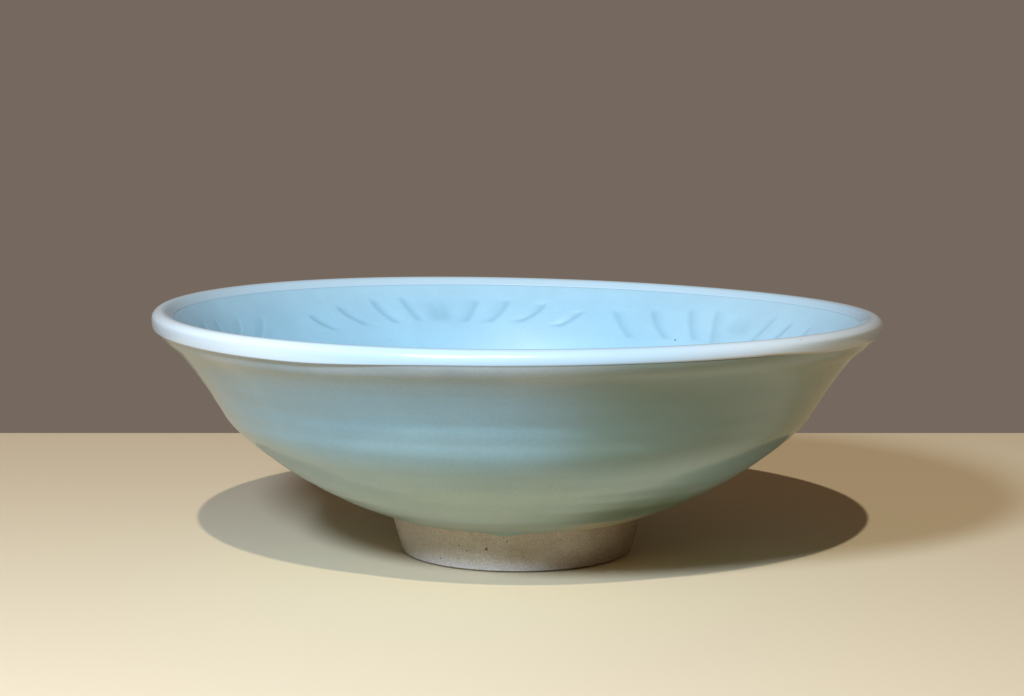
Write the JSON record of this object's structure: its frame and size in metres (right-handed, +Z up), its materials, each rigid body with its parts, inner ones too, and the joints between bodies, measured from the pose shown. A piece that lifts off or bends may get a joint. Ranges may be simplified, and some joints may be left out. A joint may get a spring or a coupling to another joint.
{
  "type": "tea bowl",
  "caption": "Wide, shallow, flaring glazed stoneware tea bowl with a thick rounded lip, a small tapered bare foot ring and a shallow well in the floor.",
  "frame": {"origin": "middle of the foot ring's standing face", "axes": "+Z up along the bowl's axis; +X and +Y level, the bowl being round about +Z"},
  "size_m": [0.17, 0.17, 0.0574],
  "materials": {
    "stoneware": "matte",
    "celadon_outside": "gloss",
    "celadon_lip": "gloss",
    "celadon_inside": "gloss"
  },
  "bodies": {
    "root": {"clay_body": "stoneware", "foot_ring": "stoneware", "outer_glaze": "celadon_outside", "lip_glaze": "celadon_lip", "inner_glaze": "celadon_inside"}
  },
  "joints": []
}
